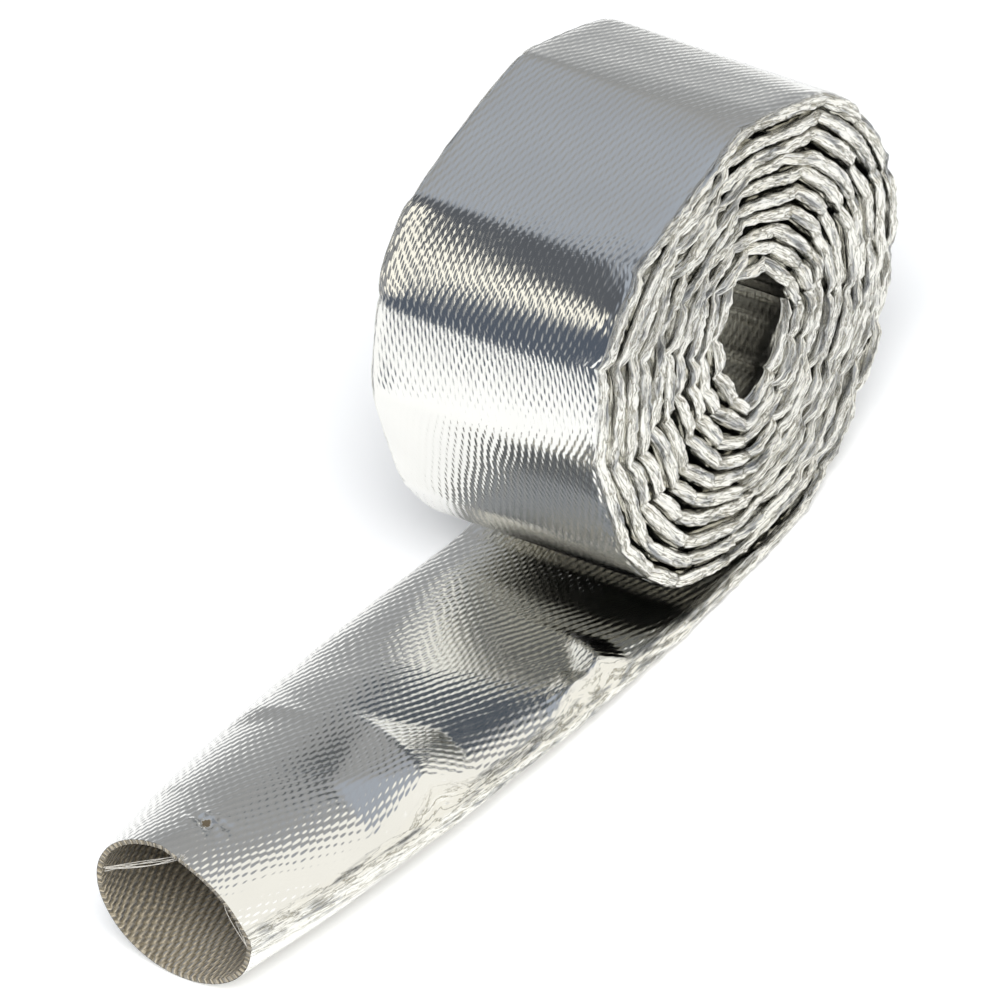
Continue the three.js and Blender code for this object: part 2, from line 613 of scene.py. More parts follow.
@dataclass(frozen=True)
class Crumple:
    """Fine unevenness of the foil.

    Attributes:
        swell: height of the broad, soft waves.
        swell_size: their size.
        crease: height of the sharp crumples on the folds.
        crease_length: their size along the sleeve.
        crease_width: their size round it.
        fold_tip: distance from a fold's tip up to which they keep their full height.
        fold_reach: how far from a fold's tip they go.
        fold_calm: share of the soft waves that the folds lack.
        ridge_middle: height of the ridged noise that counts as the plain skin.
        face_crease: share of the crumples that the flat faces have.
        pleat: height of the pleats that run along the folds.
        pleat_width: from one pleat to the next.
        far_share: share of the near folds' crumples that the far folds have.
        free_share: share of the roll's crumples that the free end has.
        free_until: distances from the mouth between which that share grows to the whole.
        zigzags: lengths of the folds' two zigzags.
        leans: how much each zigzag leans from one side of a fold to the other.
        zigzag_share: strength of the zigzags beside the soft waves.
        pleat_drift: length over which a pleat wanders, and by how many pleats.
        lean_drift: how far the soft waves push the first zigzag, in zigzags.
        shift_scales: scales of the unevenness that shifts the skin across and along.
        sideways_gain: how much stronger the crumples go sideways than along.
    """

    swell: float = 0.22
    swell_size: float = 13.0
    crease: float = 0.24
    crease_length: float = 2.6
    crease_width: float = 1.3
    fold_tip: float = 0.3
    fold_reach: float = 2.6
    fold_calm: float = 0.6
    ridge_middle: float = 0.6
    face_crease: float = 0.08
    pleat: float = 0.17
    pleat_width: float = 1.5
    far_share: float = 0.3
    free_share: float = 0.4
    free_until: tuple[float, float] = (100.0, 118.0)
    zigzags: tuple[float, float] = (4.3, 2.9)
    leans: tuple[float, float] = (0.35, 0.5)
    zigzag_share: float = 0.55
    pleat_drift: tuple[float, float] = (9.0, 1.6)
    lean_drift: float = 2.0
    shift_scales: tuple[float, float] = (0.8, 0.7)
    sideways_gain: float = 1.3

    def offset(self, length: float, girth: float, from_tip: float, place: Vector) -> Vector:
        """How far a point of the skin is moved.

        Args:
            length: distance from the mouth.
            girth: distance round the section.
            from_tip: distance from the nearer fold's tip.
            place: the point itself, in metres.

        Returns:
            The shift in millimetres: along the sleeve, across it, and outwards.
        """
        near = 1 - ease(self.fold_tip, self.fold_reach, from_tip)
        near *= mix(1.0, self.far_share, ease(-1.0, 1.0, place.y / MM))
        strength = mix(self.face_crease, 1.0, near)
        strength *= mix(self.free_share, 1.0, ease(*self.free_until, length))
        at = Vector((length / self.crease_length, girth / self.crease_width, 0.0))
        ridged = 1 - 2 * abs(noise.noise(at + RIDGE_PLACE))
        side = noise.noise(at * self.shift_scales[0] + SIDE_PLACE)
        along = noise.noise(at * self.shift_scales[1] + ALONG_PLACE)
        soft = noise.noise(place / (self.swell_size * MM))
        pushed = girth * self.leans[0] + self.lean_drift * soft
        leaning = self._facet(length / self.zigzags[0] + pushed)
        crossing = self._facet(length / self.zigzags[1] - girth * self.leans[1])
        side += self.zigzag_share * (leaning + crossing)
        drift = noise.noise(Vector((length / self.pleat_drift[0], 0.0, DRIFT_DEPTH)))
        pleat = self._facet(girth / self.pleat_width + self.pleat_drift[1] * drift)
        out = self.swell * soft * (1 - self.fold_calm * near)
        out += self.crease * strength * (ridged - self.ridge_middle)
        out += self.pleat * near * pleat
        sideways = self.crease * near * strength
        return Vector((sideways * along, sideways * side * self.sideways_gain, out))

    @staticmethod
    def _facet(phase: float) -> float:
        """Sharp zigzag between -1 and 1."""
        return 4 * abs(phase % 1.0 - 0.5) - 1


@dataclass(frozen=True)
class SkinPatch:
    """How finely one stretch of the skin is modelled.

    Attributes:
        start: distance from the mouth where it starts.
        stop: where it ends.
        step: distance between two rows of points.
        sides: points once round.
    """

    start: float
    stop: float
    step: float
    sides: int


@dataclass(frozen=True)
class Nodes:
    """Short ways to write a material's node tree.

    Attributes:
        tree: the node tree to write into.
    """

    tree: bpy.types.NodeTree

    def add(self, kind: str, **settings: object) -> bpy.types.Node:
        """A new node with its settings.

        Args:
            kind: the node's type.
            settings: its properties by name.

        Returns:
            The node.
        """
        node = self.tree.nodes.new(kind)
        for name, value in settings.items():
            setattr(node, name, value)
        return node

    def join(self, source: bpy.types.NodeSocket, target: bpy.types.NodeSocket) -> None:
        """Links two sockets."""
        self.tree.links.new(source, target)

    def math(self, operation: str, *values: object, clamp: bool = False) -> bpy.types.NodeSocket:
        """A math node on sockets or plain numbers.

        Args:
            operation: the node's operation.
            values: a socket or a number for each input.
            clamp: whether the result stays between 0 and 1.

        Returns:
            The node's result.
        """
        node = self.add("ShaderNodeMath", operation=operation, use_clamp=clamp)
        for socket, value in zip(node.inputs, values):
            if isinstance(value, bpy.types.NodeSocket):
                self.join(value, socket)
            else:
                socket.default_value = value
        return node.outputs[0]

    def ramp(self, source: bpy.types.NodeSocket,
             stops: list[tuple[float, tuple[float, ...]]]) -> bpy.types.NodeSocket:
        """A colour ramp with the given stops.

        Args:
            source: what drives it.
            stops: places and colours in order.

        Returns:
            The colour.
        """
        node = self.add("ShaderNodeValToRGB")
        ramp = node.color_ramp
        while len(ramp.elements) < len(stops):
            ramp.elements.new(0.5)
        for element, (place, colour) in zip(ramp.elements, stops):
            element.position = place
            element.color = (*colour, 1.0) if len(colour) == 3 else colour
        self.join(source, node.inputs["Fac"])
        return node.outputs["Color"]

    def stretched(self, vector: bpy.types.NodeSocket,
                  scales: tuple[float, float, float]) -> bpy.types.NodeSocket:
        """A vector times a scale for each of its parts.

        Args:
            vector: what is scaled.
            scales: the scale along each axis.

        Returns:
            The scaled vector.
        """
        node = self.add("ShaderNodeVectorMath", operation="MULTIPLY")
        self.join(vector, node.inputs[0])
        node.inputs[1].default_value = scales
        return node.outputs["Vector"]

    def noise(self, vector: bpy.types.NodeSocket, scale: float, detail: float = 2.0,
              roughness: float = 0.5) -> bpy.types.NodeSocket:
        """Noise between 0 and 1 on a vector.

        Args:
            vector: where the noise is read.
            scale: how fine it is.
            detail: how many finer layers it has.
            roughness: how strong those are.

        Returns:
            The noise.
        """
        node = self.add("ShaderNodeTexNoise")
        self.join(vector, node.inputs["Vector"])
        node.inputs["Scale"].default_value = scale
        node.inputs["Detail"].default_value = detail
        node.inputs["Roughness"].default_value = roughness
        return node.outputs["Fac"]


@dataclass(frozen=True)
class Puncture:
    """A small hole poked through the foil, with wrinkles that run out from it.

    Attributes:
        length: its distance from the mouth.
        girth: its place round the girth.
        hole: radius of the bare fibre that shows.
        reach: how far the wrinkles go.
        depth: depth of the poked middle.
        wrinkles: how many there are.
        height: their height at the hole.
        twist: how far they turn for each millimetre outwards, in radians.
        edge_scale: how fine the hole's ragged edge is.
        ragged: how far the edge strays.
        edge_sharpness: how sharply the hole ends.
    """

    length: float = 9.4
    girth: float = 61.0
    hole: float = 0.8
    reach: float = 5.0
    depth: float = 1.0
    wrinkles: int = 5
    height: float = 0.9
    twist: float = 0.8
    edge_scale: float = 1.4
    ragged: float = 1.6
    edge_sharpness: float = 4.0

    def offset(self, length: float, girth: float) -> float:
        """How far out the skin stands round the puncture.

        Args:
            length: distance from the mouth.
            girth: distance round the section.

        Returns:
            The distance.
        """
        along, around = length - self.length, girth - self.girth
        away = math.hypot(along, around)
        if away >= self.reach:
            return 0.0
        fade = (1 - away / self.reach) ** 2
        wave = math.cos(self.wrinkles * math.atan2(around, along) + self.twist * away)
        poked = math.exp(-(away / self.hole) ** 2)
        return fade * (1 - poked) * self.height * wave - self.depth * poked

    def mask(self, nodes: Nodes, place: bpy.types.NodeSocket) -> bpy.types.NodeSocket:
        """1 in the hole and 0 outside it.

        Args:
            nodes: the material's nodes.
            place: the cloth's map.

        Returns:
            The mask.
        """
        apart = nodes.add("ShaderNodeVectorMath", operation="DISTANCE")
        nodes.join(place, apart.inputs[0])
        apart.inputs[1].default_value = (self.length, self.girth, 0.0)
        uneven = nodes.noise(place, self.edge_scale, detail=2.0)
        ragged = nodes.math("MULTIPLY_ADD", uneven, self.ragged, -self.ragged / 2)
        edge = nodes.math("ADD", apart.outputs["Value"], ragged)
        inside = nodes.math("SUBTRACT", self.hole, edge)
        return nodes.math("MULTIPLY", inside, self.edge_sharpness, clamp=True)


@dataclass
class SleeveSkin:
    """Makes stretches of the sleeve as meshes: a grid that is wrapped round the winding.

    Attributes:
        form: the section all along the sleeve.
        placement: where the winding is in the frame.
        crumple: the foil's unevenness.
        bulge: how far the outer turn's near side stands out further than its far side.
        bulge_angle: where it does, in degrees round the axis.
        bulge_spread: over how many degrees to both sides.
        soft_start: length past the toe over which the near side's kinks grow soft.
        soft_ending: lengths before the heel where they start and end to grow sharp again.
        soft_between: shares of the half-width, from the sharp far side to the soft near side.
        puncture: the small hole near the mouth.
    """

    form: SleeveForm
    placement: Placement
    crumple: Crumple
    bulge: float = 1.9
    bulge_angle: float = 143.0
    bulge_spread: float = 13.0
    soft_start: float = 15.0
    soft_ending: tuple[float, float] = (22.0, 8.0)
    soft_between: tuple[float, float] = (0.75, -0.7)
    puncture: Puncture = Puncture()

    def wrap(self, name: str, patch: SkinPatch, inset: float = 0.0) -> bpy.types.Object:
        """Wraps a grid into a tube along a stretch of the sleeve.

        Args:
            name: the piece's name.
            patch: the stretch and its fineness.
            inset: how far inside the outer skin it lies.

        Returns:
            The piece, with the cloth's own map in millimetres along and round.
        """
        rows = round((patch.stop - patch.start) / patch.step)
        bm = bmesh.new()
        bmesh.ops.create_grid(bm, x_segments=rows, y_segments=patch.sides, size=0.5)
        cloth = bm.loops.layers.uv.new(CLOTH_MAP)
        bm.verts.ensure_lookup_table()
        grid = {v: (round((v.co.x + 0.5) * rows), round((v.co.y + 0.5) * patch.sides)) for v in bm.verts}
        rings = []
        winding = self.form.winding
        for row in range(rows + 1):
            length = mix(patch.start, patch.stop, row / rows)
            sharp = winding.station(length, winding.kink_rounding)
            soft = winding.station(length, self.soft_rounding(length))
            rings.append((sharp, soft, self.form.ring(sharp, patch.sides, inset)))
        measure = {}
        for vert, (row, column) in grid.items():
            sharp, soft, ring = rings[row]
            vert.co = self._place(self.blend(sharp, soft, ring[column].across), ring, column)
            measure[vert] = (sharp.length, ring[column].girth)
        for face in bm.faces:
            for loop in face.loops:
                loop[cloth].uv = measure[loop.vert]
        bmesh.ops.remove_doubles(bm, verts=bm.verts, dist=1e-6)
        bmesh.ops.recalc_face_normals(bm, faces=bm.faces)
        return finished(bm, name)

    def soft_rounding(self, length: float) -> float:
        """How far the near side's kinks are rounded at a distance from the mouth.

        Args:
            length: the distance.

        Returns:
            The length of a rounding, to both sides of a kink.
        """
        winding = self.form.winding
        first = winding.tail_reach + winding.toe_reach
        starts, ends = self.soft_ending
        last = winding.heel_length
        outer = ease(first, first + self.soft_start, length) * (1 - ease(last - starts, last - ends, length))
        return mix(winding.kink_rounding, winding.near_rounding, outer)

    def blend(self, sharp: Station, soft: Station, across: float) -> Station:
        """The station at a place across the sleeve, between its sharp far side and its soft near side.

        Args:
            sharp: the far side's station.
            soft: the near side's station.
            across: the place along Y.

        Returns:
            The station there.
        """
        half = self.form.stock.lay_flat / 2
        nearness = ease(*self.soft_between, across / half)
        swing = math.degrees(math.atan2(soft.point.y, soft.point.x)) - self.bulge_angle
        on_outer_turn = sharp.run_index > 0 and sharp.length < self.form.winding.heel_length
        swell = self.bulge * math.exp(-(swing / self.bulge_spread) ** 2) if on_outer_turn else 0.0
        point = sharp.point.lerp(soft.point, nearness) + soft.outward * swell * nearness
        outward = sharp.outward.lerp(soft.outward, nearness).normalized()
        return replace(sharp, point=point, outward=outward)

    def _place(self, station: Station, ring: list[RingPoint], column: int) -> Vector:
        """Place of one point of the skin with its crumples and dents.

        Args:
            station: the place along the sleeve.
            ring: the whole section.
            column: which point of the section it is.

        Returns:
            The place in metres.
        """
        half = self.form.stock.lay_flat
        column = column % (len(ring) - 1)
        point = ring[column]
        girth = point.girth
        from_tip = min(girth, abs(girth - half), abs(2 * half - girth))
        before = ring[column - 1 if column else -2]
        after = ring[column + 1]
        outward = Vector((after.depth - before.depth, before.across - after.across))
        if outward.length > 0:
            outward.normalize()
        plain = self.placement.point(station, point.across, point.depth)
        shift = self.crumple.offset(station.length, girth, from_tip, plain)
        shift.z += self.puncture.offset(station.length, girth)
        across = point.across - outward.x * shift.z + math.copysign(shift.y, point.across)
        depth = point.depth - outward.y * shift.z
        for dent in self.form.dents:
            share = dent.share(station.length, girth)
            across += dent.depth * share * dent.way[0]
            depth += dent.depth * share * dent.way[1]
        return self.placement.point(station, across, depth, shift.x)


def finished(bm: bmesh.types.BMesh, name: str) -> bpy.types.Object:
    """Turns a bmesh into a smooth-shaded object at the origin.

    Args:
        bm: the mesh, which is freed.
        name: the object's name.

    Returns:
        The object.
    """
    mesh = bpy.data.meshes.new(name)
    bm.to_mesh(mesh)
    bm.free()
    mesh.shade_smooth()
    piece = bpy.data.objects.new(name, mesh)
    bpy.context.scene.collection.objects.link(piece)
    return piece


@dataclass(frozen=True)
class TwillWave:
    """One wave of the weave's relief, in waves per millimetre along and round the sleeve."""

    along: float
    round: float
    strength: float


@dataclass(frozen=True)
class Weave:
    """The twill that shows through the foil.

    Attributes:
        waves: the relief's waves, strongest first.
        wobble_scale: how fine the threads' wobble is.
        wobble: how far they wobble, as a share of a wave.
    """

    waves: tuple[TwillWave, ...] = (
        TwillWave(along=0.256, round=0.838, strength=1.0),
        TwillWave(along=0.324, round=-1.473, strength=0.42),
        TwillWave(along=0.580, round=-0.635, strength=0.25),
    )
    wobble_scale: float = 0.16
    wobble: float = 0.9

    def height(self, nodes: Nodes) -> bpy.types.NodeSocket:
        """The relief's height, about -1 to 1, from the cloth's own map.

        Args:
            nodes: the material's nodes.

        Returns:
            The height.
        """
        place = nodes.add("ShaderNodeUVMap", uv_map=CLOTH_MAP)
        split = nodes.add("ShaderNodeSeparateXYZ")
        nodes.join(place.outputs["UV"], split.inputs[0])
        wobble = nodes.noise(place.outputs["UV"], self.wobble_scale, detail=1.0)
        shift = nodes.math("MULTIPLY", nodes.math("SUBTRACT", wobble, 0.5), self.wobble)
        total: bpy.types.NodeSocket | None = None
        for wave in self.waves:
            along = nodes.math("MULTIPLY", split.outputs["X"], wave.along)
            phase = nodes.math("MULTIPLY_ADD", split.outputs["Y"], wave.round, along)
            phase = nodes.math("ADD", phase, shift)
            turn = nodes.math("COSINE", nodes.math("MULTIPLY", phase, 2 * math.pi))
            part = nodes.math("MULTIPLY", turn, wave.strength)
            total = part if total is None else nodes.math("ADD", total, part)
        return total


@dataclass(frozen=True)
class FoilFinish:
    """Bright aluminium foil pressed onto the weave.

    Attributes:
        colour: the metal's colour.
        worn: its colour where the folds are worn by rubbing.
        crease_shade_and_wear: share of it that is left in the crease lines of the folds, as painted shade
            with a brown tint of wear.
        painted_dark_sliver: painted dark reflection on the folds, where a fold turned away would look dark.
        weave: the twill under it.
        relief: depth of the twill's relief in metres.
        crinkle: depth of the fine crinkles in metres.
        roughness: the foil's middle roughness.
        crease_stretch: scales of the fine noise along and round the sleeve.
        crease_grain: scale, detail and roughness of the fine noise.
        crease_fineness: how thin the crease lines are.
        painted_sliver_stretch: scales of the painted dark slivers along and round it.
        painted_sliver_grain: scale, detail and roughness of their noise.
        painted_sliver_between: noise between which a painted sliver goes over to the worn foil.
        dull: share of the foil's colour that is left in its dull patches.
        dull_between: noise between which a dull patch goes over to the bright foil.
        patchiness: scale of the foil's broad unevenness.
        calm_until: distances from the mouth between which the crinkles grow to their full depth.
        toe_fade: length over which the free end's finish goes over to the roll's.
        fold_sharpness: how sharply the crinkles end beside a fold.
        far_fold: how far from the far fold's tip the crinkles reach on the free end.
        free_fold: the same from its near fold's tip.
        wound_fold: the same on the roll.
        wound_from: distance from the mouth where the roll starts.
        inner_from: distance from the mouth where the second turn goes under the first.
        bare_fibre: colour of the fibre in the puncture.
        puncture: the small hole near the mouth.
        free_relief: how much stronger the twill shows on the free end.
        inner_relief: how much of it is left on the inner turns.
        inner_fade: length over which it fades there.
        relief_patches: how much the relief's strength varies, and its least strength.
        crease_cut: how deep a crease line cuts, as a share of the crinkles.
        face_crinkle: share of the crinkles that the flat faces have.
        fold_crinkle: share that the folds have beside it.
        calm: share of the crinkles' depth that the free end has.
        smear_scale: how fine the smears on the foil are.
        smears: how much rougher they make it.
    """

    colour: tuple[float, float, float] = (0.87, 0.86, 0.815)
    worn: tuple[float, float, float] = (0.86, 0.845, 0.785)
    # Painted shade for the folds' crease lines, with a brown tint of wear.
    crease_shade_and_wear: tuple[float, float, float] = (0.42, 0.40, 0.33)
    # Painted dark reflection for the slivers on the folds.
    painted_dark_sliver: tuple[float, float, float] = (0.29, 0.295, 0.295)
    weave: Weave = Weave()
    relief: float = 0.00002
    crinkle: float = 0.00035
    roughness: float = 0.12
    crease_stretch: tuple[float, float, float] = (0.2, 1.8, 1.0)
    crease_grain: tuple[float, float, float] = (0.8, 5.0, 0.62)
    crease_fineness: float = 34.0
    painted_sliver_stretch: tuple[float, float, float] = (0.11, 0.75, 1.0)
    painted_sliver_grain: tuple[float, float, float] = (1.0, 3.0, 0.6)
    painted_sliver_between: tuple[float, float] = (0.34, 0.48)
    dull: float = 0.96
    dull_between: tuple[float, float] = (0.3, 0.7)
    patchiness: float = 0.09
    calm_until: tuple[float, float] = (100.0, 118.0)
    toe_fade: float = 12.0
    fold_sharpness: float = 3.5
    far_fold: float = 0.3
    free_fold: float = 2.6
    wound_fold: float = 1.35
    wound_from: float = 118.0
    inner_from: float = 366.0
    bare_fibre: tuple[float, float, float] = (0.11, 0.085, 0.05)
    puncture: Puncture = Puncture()
    free_relief: float = 1.2
    inner_relief: float = 0.15
    inner_fade: float = 8.0
    relief_patches: tuple[float, float] = (0.9, 0.5)
    crease_cut: float = 0.12
    face_crinkle: float = 0.03
    fold_crinkle: float = 0.96
    calm: float = 0.5
    smear_scale: float = 0.35
    smears: float = 0.12

    def material(self, name: str, lay_flat: float) -> bpy.types.Material:
        """Makes the foil's material.

        Args:
            name: the material's name.
            lay_flat: the flat sleeve's width, which parts the two folds.

        Returns:
            The material.
        """
        material = bpy.data.materials.new(name)
        material.use_nodes = True
        nodes = Nodes(material.node_tree)
        shader = material.node_tree.nodes["Principled BSDF"]
        place = nodes.add("ShaderNodeUVMap", uv_map=CLOTH_MAP).outputs["UV"]
        fold = self._fold_mask(nodes, place, lay_flat)
        fine = nodes.noise(nodes.stretched(place, self.crease_stretch), *self.crease_grain)
        off_crease = nodes.math("ABSOLUTE", nodes.math("SUBTRACT", fine, 0.5))
        off_crease = nodes.math("MULTIPLY", off_crease, self.crease_fineness)
        crease = nodes.math("SUBTRACT", 1.0, off_crease, clamp=True)
        broad = nodes.noise(place, self.patchiness, detail=2.0)
        self._dress_relief(nodes, shader, place, (fold, fine, crease, broad))
        self._dress_colour(nodes, shader, place, (fold, crease, broad))
        smears = nodes.noise(place, self.smear_scale, detail=3.0)
        rough = nodes.math("MULTIPLY_ADD", smears, self.smears, self.roughness - self.smears / 2)
        nodes.join(rough, shader.inputs["Roughness"])
        return material

    def _dress_relief(self, nodes: Nodes, shader: bpy.types.Node, place: bpy.types.NodeSocket,
                      parts: tuple[bpy.types.NodeSocket, ...]) -> None:
        """Gives the shader the twill's relief and the crinkles of the folds.

        Args:
            nodes: the material's nodes.
            shader: the foil's shader.
            place: the cloth's map.
            parts: the fold mask, the fine noise, its crease lines and the broad noise.
        """
        fold, fine, crease, broad = parts
        height = self.weave.height(nodes)
        worn = nodes.math("MULTIPLY_ADD", broad, *self.relief_patches)
        off_fold = nodes.math("SUBTRACT", 1.0, fold)
        woven = nodes.math("MULTIPLY", height, nodes.math("MULTIPLY", worn, off_fold))
        onto_roll = (self.wound_from - self.toe_fade, self.wound_from)
        free = self._along(nodes, place, onto_roll, (self.free_relief, 1.0))
        under = (self.inner_from, self.inner_from + self.inner_fade)
        inside = self._along(nodes, place, under, (1.0, self.inner_relief))
        woven = nodes.math("MULTIPLY", nodes.math("MULTIPLY", woven, free), inside)
        folded = nodes.math("SUBTRACT", fine, nodes.math("MULTIPLY", crease, self.crease_cut))
        share = nodes.math("MULTIPLY_ADD", fold, self.fold_crinkle, self.face_crinkle)
        crinkled = nodes.math("MULTIPLY", folded, share)
        growing = self._along(nodes, place, self.calm_until, (self.calm, 1.0))
        crinkled = nodes.math("MULTIPLY", crinkled, growing)
        first = nodes.add("ShaderNodeBump")
        first.inputs["Distance"].default_value = self.relief
        nodes.join(woven, first.inputs["Height"])
        second = nodes.add("ShaderNodeBump")
        second.inputs["Distance"].default_value = self.crinkle
        nodes.join(crinkled, second.inputs["Height"])
        nodes.join(first.outputs["Normal"], second.inputs["Normal"])
        nodes.join(second.outputs["Normal"], shader.inputs["Normal"])

    def _dress_colour(self, nodes: Nodes, shader: bpy.types.Node, place: bpy.types.NodeSocket,
                      parts: tuple[bpy.types.NodeSocket, ...]) -> None:
        """Gives the shader the foil's colour, with painted shade in the folds' crease lines and painted dark
        reflections as slivers on the folds, and the bare fibre's in the puncture.

        Args:
            nodes: the material's nodes.
            shader: the foil's shader.
            place: the cloth's map.
            parts: the fold mask, the crease lines and the broad noise.
        """
        fold, crease, broad = parts
        # Noise paints dark slivers onto the folds: painted dark reflection where a fold turned away would
        # look dark.
        patch = nodes.noise(nodes.stretched(place, self.painted_sliver_stretch), *self.painted_sliver_grain)
        dull = tuple(self.dull * channel for channel in self.colour)
        tint = nodes.ramp(broad, list(zip(self.dull_between, (dull, self.colour))))
        # The crease lines are painted darker: painted shade in the creases, with a brown tint of wear.
        crease_shade_and_wear_tint = nodes.ramp(crease, [(0.0, (1.0, 1.0, 1.0)), (1.0, self.crease_shade_and_wear)])
        with_painted_slivers = nodes.ramp(patch, list(zip(self.painted_sliver_between, (self.painted_dark_sliver, self.worn))))
        strip = nodes.add("ShaderNodeMix", data_type="RGBA", blend_type="MULTIPLY")
        strip.inputs[0].default_value = 1.0
        nodes.join(crease_shade_and_wear_tint, strip.inputs[6])
        nodes.join(with_painted_slivers, strip.inputs[7])
        mixed = nodes.add("ShaderNodeMix", data_type="RGBA")
        nodes.join(fold, mixed.inputs[0])
        nodes.join(tint, mixed.inputs[6])
        nodes.join(strip.outputs[2], mixed.inputs[7])
        bare = self.puncture.mask(nodes, place)
        torn = nodes.add("ShaderNodeMix", data_type="RGBA")
        nodes.join(bare, torn.inputs[0])
        nodes.join(mixed.outputs[2], torn.inputs[6])
        torn.inputs[7].default_value = (*self.bare_fibre, 1.0)
        nodes.join(torn.outputs[2], shader.inputs["Base Color"])
        nodes.join(nodes.math("SUBTRACT", 1.0, bare), shader.inputs["Metallic"])

    def _fold_mask(self, nodes: Nodes, place: bpy.types.NodeSocket, lay_flat: float) -> bpy.types.NodeSocket:
        """1 on a fold and 0 away from it.

        Args:
            nodes: the material's nodes.
            place: the cloth's map.
            lay_flat: the flat sleeve's width, which parts the two folds.

        Returns:
            The mask.
        """
        split = nodes.add("ShaderNodeSeparateXYZ")
        nodes.join(place, split.inputs[0])
        from_far = nodes.math("PINGPONG", split.outputs["Y"], lay_flat)
        from_near = nodes.math("SUBTRACT", lay_flat, from_far)
        stretch = (self.wound_from - self.toe_fade, self.wound_from)
        near_reach = self._along(nodes, place, stretch, (self.free_fold, self.wound_fold))
        far_reach = self._along(nodes, place, stretch, (self.far_fold, self.wound_fold))
        nearest = nodes.math("MINIMUM", nodes.math("DIVIDE", from_near, near_reach),
                             nodes.math("DIVIDE", from_far, far_reach))
        inner = nodes.math("SUBTRACT", nearest, 1.0)
        return nodes.math("SUBTRACT", 0.5, nodes.math("MULTIPLY", inner, self.fold_sharpness), clamp=True)

    @staticmethod
    def _along(nodes: Nodes, place: bpy.types.NodeSocket, stretch: tuple[float, float],
               values: tuple[float, float]) -> bpy.types.NodeSocket:
        """A value that changes softly over one stretch of the sleeve.

        Args:
            nodes: the material's nodes.
            place: the cloth's map.
            stretch: distances from the mouth where the change starts and ends.
            values: the value before and after.

        Returns:
            The value.
        """
        split = nodes.add("ShaderNodeSeparateXYZ")
        nodes.join(place, split.inputs[0])
        change = nodes.add("ShaderNodeMapRange", interpolation_type="SMOOTHSTEP")
        nodes.join(split.outputs["X"], change.inputs["Value"])
        for name, value in zip(("From Min", "From Max", "To Min", "To Max"), (*stretch, *values)):
            change.inputs[name].default_value = value
        return change.outputs["Result"]


@dataclass(frozen=True)
class GlassFibreFinish:
    """Bare woven glass fibre, brown with sizing.

    Attributes:
        dark: colour between the threads, where the weave's painted shade falls.
        light: colour of the threads, with painted light on their tops.
        shade_between: brightness between which dark goes over to light.
        loose: colour of a thread that has come loose.
        loose_roughness: its roughness.
        weave: the twill.
        relief: depth of the twill in metres.
        painted_weave_shading: how much brighter the twill's height makes it, as painted light on the
            threads' tops and painted shade between them.
        strand_grain: scale, detail and roughness of the strands' noise.
        roughness: its roughness.
        sheen: how much of a soft sheen it has.
    """

    dark: tuple[float, float, float] = (0.15, 0.125, 0.08)
    light: tuple[float, float, float] = (0.72, 0.63, 0.47)
    shade_between: tuple[float, float] = (0.25, 0.95)
    loose: tuple[float, float, float] = (0.80, 0.77, 0.70)
    loose_roughness: float = 0.4
    weave: Weave = Weave()
    relief: float = 0.00025
    # Painted light and shade from the twill's height.
    painted_weave_shading: float = 0.22
    strand_grain: tuple[float, float, float] = (2.2, 3.0, 0.7)
    roughness: float = 0.7
    sheen: float = 0.3

    def material(self, name: str) -> bpy.types.Material:
        """Makes the glass fibre's material.

        Args:
            name: the material's name.

        Returns:
            The material.
        """
        material = bpy.data.materials.new(name)
        material.use_nodes = True
        nodes = Nodes(material.node_tree)
        shader = material.node_tree.nodes["Principled BSDF"]
        shader.inputs["Roughness"].default_value = self.roughness
        shader.inputs["Sheen Weight"].default_value = self.sheen
        height = self.weave.height(nodes)
        place = nodes.add("ShaderNodeUVMap", uv_map=CLOTH_MAP).outputs["UV"]
        strands = nodes.noise(place, *self.strand_grain)
        # The twill's height is painted into the colour, as light on the threads' tops and shade between
        # them, beside the strands' own uneven tone.
        lit = nodes.math("MULTIPLY_ADD", height, self.painted_weave_shading, strands)
        colour = nodes.ramp(lit, list(zip(self.shade_between, (self.dark, self.light))))
        nodes.join(colour, shader.inputs["Base Color"])
        bump = nodes.add("ShaderNodeBump")
        bump.inputs["Distance"].default_value = self.relief
        nodes.join(nodes.math("ADD", height, strands), bump.inputs["Height"])
        nodes.join(bump.outputs["Normal"], shader.inputs["Normal"])
        return material

    def thread(self, name: str) -> bpy.types.Material:
        """Makes the material of a clean, loose thread.

        Args:
            name: the material's name.

        Returns:
            The material.
        """
        material = bpy.data.materials.new(name)
        material.use_nodes = True
        shader = material.node_tree.nodes["Principled BSDF"]
        shader.inputs["Base Color"].default_value = (*self.loose, 1.0)
        shader.inputs["Roughness"].default_value = self.loose_roughness
        return material


@dataclass
class FoilSkin:
    """The sleeve's foil, as the free end with the outer turn and as the turns inside it.

    Attributes:
        skin: what wraps the meshes.
        finish: the foil.
        outer_fineness: step along and points round, on the free end and the outer turn.
        inner_fineness: the same on the turns inside it.
    """

    skin: SleeveSkin
    finish: FoilFinish = FoilFinish()
    outer_fineness: tuple[float, int] = (0.75, 110)
    inner_fineness: tuple[float, int] = (0.8, 56)

    def build(self) -> list[bpy.types.Object]:
        """Makes both stretches and dresses them.

        Returns:
            The two pieces.
        """
        winding = self.skin.form.winding
        seam_overlap = 3.0
        outer = SkinPatch(0.0, winding.heel_length, *self.outer_fineness)
        free_end = self.skin.wrap("free_end_and_outer_turn", outer)
        wound = SkinPatch(winding.heel_length - seam_overlap, winding.total, *self.inner_fineness)
        inner = self.skin.wrap("wound_turns", wound)
        foil = self.finish.material("aluminium_foil", self.skin.form.stock.lay_flat)
        for piece in (free_end, inner):
            piece.data.materials.append(foil)
        return [free_end, inner]


